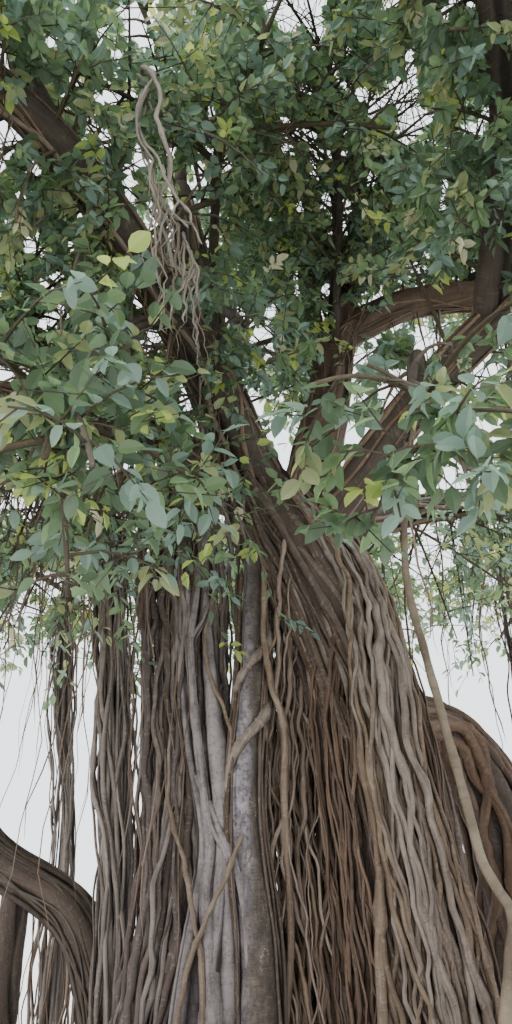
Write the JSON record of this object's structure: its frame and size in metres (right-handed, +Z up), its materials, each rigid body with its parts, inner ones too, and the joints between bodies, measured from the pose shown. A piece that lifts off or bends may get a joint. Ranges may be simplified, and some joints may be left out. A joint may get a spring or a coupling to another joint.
{
  "type": "banyan tree",
  "caption": "Spreading banyan tree: a leaning trunk draped with aerial roots, a smooth pillar root, prop roots, boughs and masses of oval leaves.",
  "frame": {"origin": "middle of the flat cut under the main trunk, at ground level", "axes": "+Z up, -Y towards the viewer in front of the trunk, +X to the right of that view"},
  "size_m": [13.3444, 13.4625, 10.012],
  "materials": {
    "bark": "rough greyish brown bark",
    "root_bark": "rough grey-tan root bark",
    "pale_bark": "smooth pale grey root bark",
    "tan_bark": "smooth ringed tan root bark",
    "leaves": "glossy dark green leaves"
  },
  "bodies": {
    "root": {"bough_back": "bark", "bough_back_left": "bark", "bough_back_right": "bark", "bough_front": "bark", "bough_front_left": "bark", "bough_front_right": "bark", "bough_inner": "bark", "bough_leader": "bark", "bough_left": "bark", "bough_low_left": "bark", "bough_low_right": "bark", "bough_right": "bark", "bough_right_rise": "bark", "bough_upper_back": "bark", "bough_upper_front": "bark", "bough_upper_front_left": "bark", "bough_upper_left": "bark", "bough_upper_right": "bark", "draped_roots": "root_bark", "foliage_back": "leaves", "foliage_back_left": "leaves", "foliage_back_right": "leaves", "foliage_front": "leaves", "foliage_front_left": "leaves", "foliage_front_right": "leaves", "foliage_inner": "leaves", "foliage_left": "leaves", "foliage_low_left": "leaves", "foliage_low_right": "leaves", "foliage_right": "leaves", "foliage_top": "leaves", "foliage_upper_back": "leaves", "foliage_upper_front": "leaves", "foliage_upper_front_left": "leaves", "foliage_upper_left": "leaves", "foliage_upper_right": "leaves", "hanging_roots_far_left": "root_bark", "hanging_roots_left": "root_bark", "hanging_roots_middle": "root_bark", "hanging_roots_right": "root_bark", "leader_roots": "root_bark", "left_root_column": "root_bark", "pale_pillar": "pale_bark", "prop_root_back": "root_bark", "prop_root_back_right": "root_bark", "prop_root_front_left": "root_bark", "prop_root_front_right": "root_bark", "prop_root_right": "root_bark", "right_trunk": "bark", "sinuous_root": "tan_bark", "slanting_prop": "bark", "slanting_prop_foot": "bark", "trunk": "bark"}
  },
  "joints": []
}
